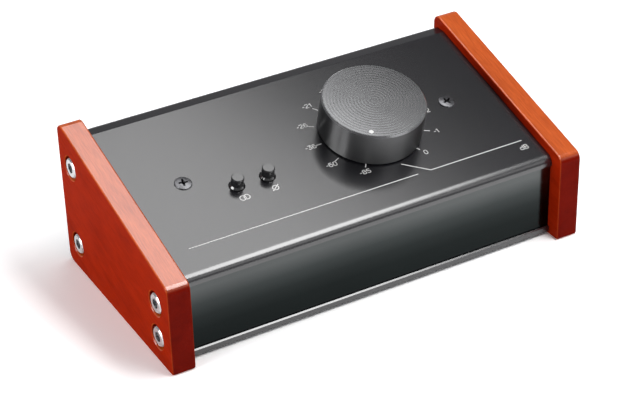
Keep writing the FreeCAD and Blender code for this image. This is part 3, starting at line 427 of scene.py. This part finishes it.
# Places on the panel: x, and the way up the slope from its middle line.
LEADER = ((0.0247, -0.0224), (0.0342, -0.0300), (0.0787, -0.0300))
RULE = ((-0.0757, -0.0300), (0.0280, -0.0300))
UNIT_PLACE = (0.0775, -0.0338)
UNIT_SIZE = 1.1
SIGN_Y = -0.0140
SIGN_RADIUS = 0.00125
SIGN_LINE = 0.00034
SIGN_RING_STEPS = 40
JOINED_SHIFT = 0.0009
STRIKE_REACH = Vector((0.0018, 0.0014))
# Each figure is its width, as a share of FIGURE_WIDTH, and strokes in a unit square.
FIGURES = {
    "-": (0.45, [((0.0, 0.45), (1.0, 0.45))]),
    "0": (1.0, [
        ((0.2, 0), (0.8, 0), (1, 0.15), (1, 0.85), (0.8, 1), (0.2, 1), (0, 0.85), (0, 0.15), (0.2, 0)),
    ]),
    "1": (0.5, [((0.0, 0.78), (0.9, 1), (0.9, 0))]),
    "2": (1.0, [((0, 0.85), (0.2, 1), (0.8, 1), (1, 0.85), (1, 0.62), (0, 0.12), (0, 0), (1, 0))]),
    "3": (1.0, [
        ((0, 1), (1, 1), (0.45, 0.58), (0.8, 0.58), (1, 0.44), (1, 0.15), (0.8, 0), (0.2, 0), (0, 0.15)),
    ]),
    "5": (1.0, [
        ((1, 1), (0.05, 1), (0.0, 0.55), (0.8, 0.58), (1, 0.44), (1, 0.15), (0.8, 0), (0.2, 0), (0, 0.1)),
    ]),
    "6": (1.0, [
        ((0.9, 1), (0.2, 1), (0, 0.85), (0, 0.15), (0.2, 0), (0.8, 0), (1, 0.15), (1, 0.45), (0.8, 0.6),
         (0, 0.6)),
    ]),
    "8": (1.0, [
        ((0.2, 0), (0.8, 0), (1, 0.14), (1, 0.42), (0.8, 0.55), (0.2, 0.55), (0, 0.42), (0, 0.14),
         (0.2, 0)),
        ((0.2, 0.55), (0.05, 0.66), (0.05, 0.89), (0.2, 1), (0.8, 1), (0.95, 0.89), (0.95, 0.66),
         (0.8, 0.55)),
    ]),
    "d": (1.0, [((1, 1), (1, 0), (0.2, 0), (0, 0.15), (0, 0.48), (0.2, 0.62), (1, 0.62))]),
    "B": (1.0, [
        ((0, 0.54), (0, 1), (0.78, 1), (0.95, 0.89), (0.95, 0.66), (0.78, 0.54)),
        ((0, 0.54), (0.78, 0.54), (1, 0.42), (1, 0.14), (0.8, 0), (0, 0), (0, 0.54)),
    ]),
}

dial_joint = next(joint for joint in frame["joints"] if joint["name"] == "dial_turn")
knob_centre = Vector(dial_joint["pos_m"])
panel_out = -Vector(dial_joint["axis"]).normalized()
panel_up = panel_out.cross(Vector((1, 0, 0))).normalized()
panel_zero = knob_centre - KNOB_S * panel_up
panel_zero.x = 0
panel_frame = Matrix((
    (1, panel_up.x, panel_out.x, panel_zero.x),
    (0, panel_up.y, panel_out.y, panel_zero.y),
    (0, panel_up.z, panel_out.z, panel_zero.z),
    (0, 0, 0, 1),
))


def screen_ink():
    """White ink that covers a little unevenly."""
    material, tree, shader = new_material("white_screen_ink")
    cover = noise(tree, object_place(tree), INK_COVER_PER_METRE, 2.0, 0.6)
    tone = colour_ramp(tree, cover, [(0.30, shaded(INK_WHITE, INK_SHADE)), (0.60, INK_WHITE)])
    tree.links.new(tone, shader.inputs["Base Color"])
    tree.links.new(value_range(tree, cover, 0.42, 0.60), shader.inputs["Roughness"])
    bumped(tree, shader, cover, INK_RELIEF)
    return material


white_ink = screen_ink()


def finish_piece(name, form, material, place):
    """Turns a bmesh, moved to its place, into a piece of the object that rides on the chassis."""
    bmesh.ops.transform(form, matrix=place, verts=form.verts)
    mesh = bpy.data.meshes.new(name)
    form.to_mesh(mesh)
    form.free()
    mesh.materials.append(material)
    piece = bpy.data.objects.new(name, mesh)
    bpy.context.scene.collection.objects.link(piece)
    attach(piece, "chassis")
    return piece


def ink_thick(form):
    """Gives flat faces drawn at z = 0 the ink's thickness, just over the panel."""
    for face in form.faces:
        if face.normal.z < 0:
            face.normal_flip()
    raised = bmesh.ops.extrude_face_region(form, geom=form.faces[:])
    top = [part for part in raised["geom"] if isinstance(part, bmesh.types.BMVert)]
    bmesh.ops.translate(form, vec=(0, 0, INK_THICKNESS), verts=top)
    bmesh.ops.translate(form, vec=(0, 0, INK_LIFT), verts=form.verts)
    bmesh.ops.recalc_face_normals(form, faces=form.faces)


def ink_line(form, start, end, width):
    """Straight printed bar from start to end."""
    along = Vector(end) - Vector(start)
    middle = Matrix.Translation((*(Vector(start) + along / 2), 0))
    turn = Matrix.Rotation(math.atan2(along.y, along.x), 4, "Z")
    size = Matrix.Diagonal((along.length, width, 1, 1))
    bmesh.ops.create_grid(form, x_segments=1, y_segments=1, size=0.5, matrix=middle @ turn @ size)


def ink_path(form, points, width):
    """Printed line of straight runs with round ends and corners."""
    for start, end in zip(points, points[1:]):
        ink_line(form, start, end, width)
    for point in points:
        corner = Matrix.Translation((*point, 0))
        bmesh.ops.create_circle(form, cap_ends=True, segments=LINE_CORNER_SIDES, radius=width / 2,
                                matrix=corner)


def ink_ring(form, centre, radius, width):
    """Printed ring."""
    here = Vector((*centre, 0))
    inner = form.verts.new(here + Vector((radius - width / 2, 0, 0)))
    outer = form.verts.new(here + Vector((radius + width / 2, 0, 0)))
    edge = form.edges.new((inner, outer))
    bmesh.ops.spin(form, geom=[inner, outer, edge], cent=here, axis=(0, 0, 1), angle=2 * math.pi,
                   steps=SIGN_RING_STEPS, use_merge=True, use_duplicate=False)


def ink_figures(form, text, centre, size=1.0):
    """Figures drawn as strokes in the squarish style of the print, centred on a point."""
    width = size * FIGURE_WIDTH
    height = size * FIGURE_HEIGHT
    gap = size * FIGURE_GAP
    run = sum(FIGURES[sign][0] * width for sign in text) + gap * (len(text) - 1)
    at_x = centre[0] - run / 2
    for sign in text:
        share, strokes = FIGURES[sign]
        for stroke in strokes:
            points = [
                (at_x + x * share * width, centre[1] + (y - 0.5) * height) for x, y in stroke]
            ink_path(form, points, FIGURE_STROKE)
        at_x += share * width + gap


def finish_print(name, form):
    """Gives flat ink its thickness and lays it on the panel."""
    ink_thick(form)
    finish_piece(name, form, white_ink, panel_frame)


scale_ticks = bmesh.new()
scale_numbers = bmesh.new()
middle = Vector((knob_centre.x, KNOB_S))
last = len(SCALE_LABELS) - 1
for index, label in enumerate(SCALE_LABELS):
    angle = SCALE_START
    if index > 0:
        angle += SCALE_END_STEP + SCALE_STEP * (index - 1)
    if index == last:
        angle += SCALE_END_STEP - SCALE_STEP
    way = Vector((math.cos(angle), math.sin(angle)))
    shift = END_SHIFT if index in (0, last) else 0.0
    tick_start = middle + (TICK_INNER + shift) * way
    tick_end = middle + (TICK_OUTER + shift) * way
    ink_line(scale_ticks, tick_start, tick_end, TICK_WIDTH)
    ink_figures(scale_numbers, label, middle + (LABEL_RADIUS + shift) * way)
finish_print("scale_ticks", scale_ticks)
finish_print("scale_numbers", scale_numbers)

panel_lines = bmesh.new()
ink_path(panel_lines, LEADER, LINE_WIDTH)
ink_path(panel_lines, RULE, LINE_WIDTH)
finish_print("panel_lines", panel_lines)

unit_sign = bmesh.new()
ink_figures(unit_sign, "dB", UNIT_PLACE, UNIT_SIZE)
finish_print("unit_sign", unit_sign)

sign_place = {}
for side in ("left", "right"):
    cap_low, cap_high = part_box(side + "_button_cap")
    sign_place[side] = Vector(((cap_low.x + cap_high.x) / 2, SIGN_Y))
joined_rings = bmesh.new()
for shift in (-JOINED_SHIFT, JOINED_SHIFT):
    ink_ring(joined_rings, sign_place["left"] + Vector((shift, 0)), SIGN_RADIUS, SIGN_LINE)
finish_print("left_button_sign", joined_rings)
struck_ring = bmesh.new()
ink_ring(struck_ring, sign_place["right"], SIGN_RADIUS, SIGN_LINE)
strike = (sign_place["right"] - STRIKE_REACH, sign_place["right"] + STRIKE_REACH)
ink_line(struck_ring, *strike, SIGN_LINE)
finish_print("right_button_sign", struck_ring)


# Knob
# Turned from solid aluminium, faced with a fine tool so the top keeps faint circles, and anodised
# graphite over bare metal, so its wall draws lamps out into upright bands. A white dot is pressed
# into its rim, and a grub screw clamps it to the shaft.
KNOB_GRAPHITE = (0.285, 0.287, 0.292, 1)
KNOB_GRAPHITE_SOFT = (0.320, 0.322, 0.327, 1)
# Painted shade: the wall's colour is this share of the top's.
KNOB_WALL_PAINTED_SHADE = 0.60
TURNING_PITCH = 0.00022
WAVES_PER_SCALE_STEP = 20
TOOL_GRAIN_PER_METRE = 4200.0
KNOB_CLOUDS_PER_METRE = 60.0
TURNING_RELIEF = 0.000006


def turned_metal():
    """Turned metal: rings on the top, on the wall highlights stretched along the axis, and the wall
    painted darker than the top as painted shade.
    """
    material, tree, shader = new_material("turned_black_anodised")
    tilt = math.atan2(-panel_out.y, panel_out.z)
    place = object_place(tree, turn=(tilt, 0, 0), centre=knob_centre)
    rings = tree.nodes.new("ShaderNodeTexWave")
    rings.wave_type = "RINGS"
    rings.rings_direction = "Z"
    rings.inputs["Scale"].default_value = 1 / TURNING_PITCH / WAVES_PER_SCALE_STEP
    rings.inputs["Distortion"].default_value = 0.4
    rings.inputs["Detail"].default_value = 1.0
    tree.links.new(place, rings.inputs["Vector"])
    grain = noise(tree, place, TOOL_GRAIN_PER_METRE, 2.0, 0.6)
    cloud = noise(tree, place, KNOB_CLOUDS_PER_METRE, 2.0)
    upright = absolute(tree, facing(tree, panel_out))
    # Painted shade: the wall darker than the top.
    painted_shade = value_range(tree, upright, KNOB_WALL_PAINTED_SHADE, 1.0, 0.1, 0.6)
    graphite = colour_ramp(tree, cloud, [(0.3, KNOB_GRAPHITE), (0.7, KNOB_GRAPHITE_SOFT)])
    tree.links.new(mixed(tree, 1.0, graphite, painted_shade, "MULTIPLY"), shader.inputs["Base Color"])
    shader.inputs["Metallic"].default_value = 1.0
    faced = value_range(tree, upright, 0.30, 0.19, 0.1, 0.9)
    rough = tree.nodes.new("ShaderNodeMath")
    rough.operation = "ADD"
    tree.links.new(faced, rough.inputs[0])
    tree.links.new(value_range(tree, grain, -0.02, 0.05), rough.inputs[1])
    tree.links.new(rough.outputs[0], shader.inputs["Roughness"])
    tree.links.new(value_range(tree, upright, 0.9, 0.0, 0.1, 0.9), shader.inputs["Anisotropic"])
    rising = tree.nodes.new("ShaderNodeCombineXYZ")
    for name, part in zip("XYZ", panel_out):
        rising.inputs[name].default_value = part
    tree.links.new(rising.outputs["Vector"], shader.inputs["Tangent"])
    height = mixed(tree, 0.35, rings.outputs["Fac"], grain)
    bumped(tree, shader, height, TURNING_RELIEF)
    return material


dress("knob", turned_metal())
dress("pointer_dot", white_ink)
dress("knob_grub_screw", black_oxide)


# Push buttons
# Moulded caps of glossy black plastic, pressed on white plastic stems. Each switch is a black box
# on the control board with the stem's return spring inside, wound from bright wire.
CAP_BLACK = (0.012, 0.012, 0.013, 1)
STEM_WHITE = (0.62, 0.61, 0.57, 1)
HOUSING_BLACK = (0.022, 0.022, 0.024, 1)
PLASTIC_CLOUDS_PER_METRE = 420.0
PLASTIC_GRAIN_PER_METRE = 2600.0
PLASTIC_RELIEF = 0.000006
PLASTIC_COAT_ROUGHNESS = 0.08
SPRING_RADIUS = 0.0019
SPRING_WIRE = 0.0005
SPRING_TURNS = 5
SPRING_STEPS = 24
WIRE_SIDES = 8


def moulded_plastic(name, colour, roughness, coat):
    """Moulded plastic with a faint texture from the tool and softer gloss in patches."""
    material, tree, shader = new_material(name)
    place = object_place(tree)
    patch = noise(tree, place, PLASTIC_CLOUDS_PER_METRE, 3.0, 0.6)
    lighter = tuple(1.25 * part + 0.002 for part in colour[:3]) + (1,)
    tone = colour_ramp(tree, patch, [(0.3, colour), (0.75, lighter)])
    tree.links.new(tone, shader.inputs["Base Color"])
    rough = value_range(tree, patch, roughness - 0.04, roughness + 0.06)
    tree.links.new(rough, shader.inputs["Roughness"])
    shader.inputs["Coat Weight"].default_value = coat
    shader.inputs["Coat Roughness"].default_value = PLASTIC_COAT_ROUGHNESS
    bumped(tree, shader, noise(tree, place, PLASTIC_GRAIN_PER_METRE, 2.0), PLASTIC_RELIEF)
    return material


gloss_black = moulded_plastic("gloss_black_plastic", CAP_BLACK, 0.16, 1.0)
stem_white = moulded_plastic("white_stem_plastic", STEM_WHITE, 0.45, 0.0)
matt_black = moulded_plastic("matt_black_plastic", HOUSING_BLACK, 0.52, 0.0)
for side in ("left", "right"):
    dress(side + "_button_cap", gloss_black)
    dress(side + "_button_stem", stem_white)
    dress(side + "_switch_housing", matt_black)

for side in ("left", "right"):
    spring_node = nodes[side + "_switch_spring"]
    points = [spring_node.matrix_world @ vertex.co for vertex in spring_node.data.vertices]
    heights = [point.dot(panel_out) for point in points]
    centre = sum(points, Vector()) / len(points)
    seat = centre + (min(heights) - centre.dot(panel_out)) * panel_out
    length = max(heights) - min(heights)
    rise = length - 2 * SPRING_WIRE
    spring = bmesh.new()
    wire_end = Matrix.Translation((SPRING_RADIUS, 0, SPRING_WIRE))
    upright = Matrix.Rotation(math.pi / 2, 4, "X")
    bmesh.ops.create_circle(spring, cap_ends=True, segments=WIRE_SIDES, radius=SPRING_WIRE / 2,
                            matrix=wire_end @ upright)
    steps = SPRING_TURNS * SPRING_STEPS
    section = spring.verts[:] + spring.edges[:] + spring.faces[:]
    bmesh.ops.spin(spring, geom=section, cent=(0, 0, 0), axis=(0, 0, 1), dvec=(0, 0, rise / steps),
                   angle=2 * math.pi * SPRING_TURNS, steps=steps, use_duplicate=False)
    bmesh.ops.recalc_face_normals(spring, faces=spring.faces)
    lift = Matrix.Translation(seat - panel_frame.translation) @ panel_frame
    coil = finish_piece(side + "_return_spring", spring, zinc, lift)
    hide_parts(side + "_switch_spring")
    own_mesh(coil)


# Rotary attenuator
# A moulded housing on the control board with a brass bush that clamps it to the panel by a nut
# and washer under the knob. The shaft and the terminals are brass.
BRASS = (0.62, 0.42, 0.16, 1)
brass = plated_steel("turned_brass", BRASS, 0.30)
for node in ("attenuator_bush", "attenuator_shaft", "attenuator_terminals", "board_posts"):
    dress(node, brass)
for node in ("attenuator_washer", "attenuator_nut"):
    dress(node, zinc)
for node in ("attenuator_housing", "attenuator_cover", "attenuator_rotor"):
    dress(node, matt_black)


# Rear sockets
# Die-cast shells under black chrome, with moulded inserts. The outputs carry silvered pins, and
# the small jack is held by a bright ring nut.
BLACK_CHROME = (0.060, 0.060, 0.064, 1)
SILVER = (0.78, 0.77, 0.74, 1)
black_chrome = plated_steel("black_chrome_casting", BLACK_CHROME, 0.30)
silver = plated_steel("silvered_contacts", SILVER, 0.22)
for side in ("left", "right"):
    for kind in ("input", "output"):
        dress(side + "_" + kind + "_shell", black_chrome)
        dress(side + "_" + kind + "_insert", matt_black)
    dress(side + "_output_pins", silver)
dress("stereo_jack", matt_black)
dress("stereo_jack_nut", zinc)


# Boards and cable
# Glass-fibre boards under green solder mask, with chip resistors, black headers and a grey flat
# cable between them.
MASK_GREEN = (0.012, 0.085, 0.032, 1)
MASK_LIGHT = (0.018, 0.120, 0.045, 1)
MASK_ROUGHNESS = 0.28
WEAVE_PER_METRE = 1400.0
WEAVE_RELIEF = 0.00001
CABLE_GREY = (0.30, 0.30, 0.31, 1)


def solder_mask():
    """Green mask that shows the glass weave under it."""
    material, tree, shader = new_material("green_solder_mask")
    weave = noise(tree, object_place(tree), WEAVE_PER_METRE, 2.0)
    tone = colour_ramp(tree, weave, [(0.35, MASK_GREEN), (0.65, MASK_LIGHT)])
    tree.links.new(tone, shader.inputs["Base Color"])
    shader.inputs["Roughness"].default_value = MASK_ROUGHNESS
    bumped(tree, shader, weave, WEAVE_RELIEF)
    return material


green_mask = solder_mask()
for node in ("main_board", "socket_board"):
    dress(node, green_mask)
dress("board_headers", matt_black)
dress("summing_resistors", matt_black)
dress("ribbon_cable", moulded_plastic("grey_vinyl", CABLE_GREY, 0.5, 0.0))


# Floor, lights and surroundings
# A plain white table in a studio with a dark ceiling. Two soft lamps hang over the box, where the
# panel and the knob's top mirror them, a low one lights the front and a strong one the left side.
FLOOR_LIT = (0.80, 0.80, 0.80, 1)
FLOOR_SEEN = (1.30, 1.30, 1.30, 1)
FLOOR_SIZE = 6.0
FLOOR_ROUGHNESS = 0.8
HORIZON_GREY = (0.40, 0.40, 0.41, 1)
CEILING_GREY = (0.05, 0.05, 0.055, 1)
# Each lamp: its place, the point it faces, its width and height, watts, and turn about its axis.
SOFTBOXES = {
    "rear_softbox": ((0.168, 0.209, 0.65), (0.168, 0.209, 0), (0.30, 0.38), 1.03, math.radians(31)),
    "front_softbox": ((0.240, -0.265, 0.65), (0.240, -0.265, 0), (0.28, 0.57), 4.3, 0.0),
    "low_softbox": ((0.39, -0.73, 0.49), (0, 0, 0.03), (0.50, 0.35), 0.5, 0.0),
    "left_softbox": ((-0.90, -0.03, 0.28), (0, 0, 0.05), (0.60, 0.38), 7.0, 0.0),
}

floor_form = bmesh.new()
bmesh.ops.create_grid(floor_form, x_segments=1, y_segments=1, size=FLOOR_SIZE)
floor_mesh = bpy.data.meshes.new("floor")
floor_form.to_mesh(floor_mesh)
floor_form.free()
floor_material, floor_tree, floor_shader = new_material("white_table")
ray = floor_tree.nodes.new("ShaderNodeLightPath")
seen = ray.outputs["Is Camera Ray"]
for kind in ("Is Glossy Ray", "Is Transmission Ray"):
    either = floor_tree.nodes.new("ShaderNodeMath")
    either.operation = "MAXIMUM"
    floor_tree.links.new(seen, either.inputs[0])
    floor_tree.links.new(ray.outputs[kind], either.inputs[1])
    seen = either.outputs[0]
floor_tone = mixed(floor_tree, seen, FLOOR_LIT, FLOOR_SEEN)
floor_tree.links.new(floor_tone, floor_shader.inputs["Base Color"])
floor_shader.inputs["Roughness"].default_value = FLOOR_ROUGHNESS
floor_shader.inputs["Specular IOR Level"].default_value = 0.0
floor_mesh.materials.append(floor_material)
floor = bpy.data.objects.new("floor", floor_mesh)
bpy.context.scene.collection.objects.link(floor)


for name, (place, look_at, size, watts, turn) in SOFTBOXES.items():
    lamp = bpy.data.lights.new(name, "AREA")
    lamp.shape = "RECTANGLE"
    lamp.size, lamp.size_y = size
    lamp.energy = watts
    holder = bpy.data.objects.new(name, lamp)
    holder.location = place
    holder.rotation_euler = (Vector(look_at) - Vector(place)).to_track_quat("-Z", "Y").to_euler()
    holder.rotation_euler.rotate_axis("Z", turn)
    bpy.context.scene.collection.objects.link(holder)

world = bpy.data.worlds.new("studio")
bpy.context.scene.world = world
world.use_nodes = True
sky = world.node_tree
direction = sky.nodes.new("ShaderNodeTexCoord")
split = sky.nodes.new("ShaderNodeSeparateXYZ")
sky.links.new(direction.outputs["Generated"], split.inputs["Vector"])
height_tone = colour_ramp(sky, split.outputs["Z"], [(0.40, HORIZON_GREY), (0.68, CEILING_GREY)])
sky.links.new(height_tone, sky.nodes["Background"].inputs["Color"])
sky.nodes["Background"].inputs["Strength"].default_value = 1.0

bpy.context.scene.view_settings.view_transform = "Standard"
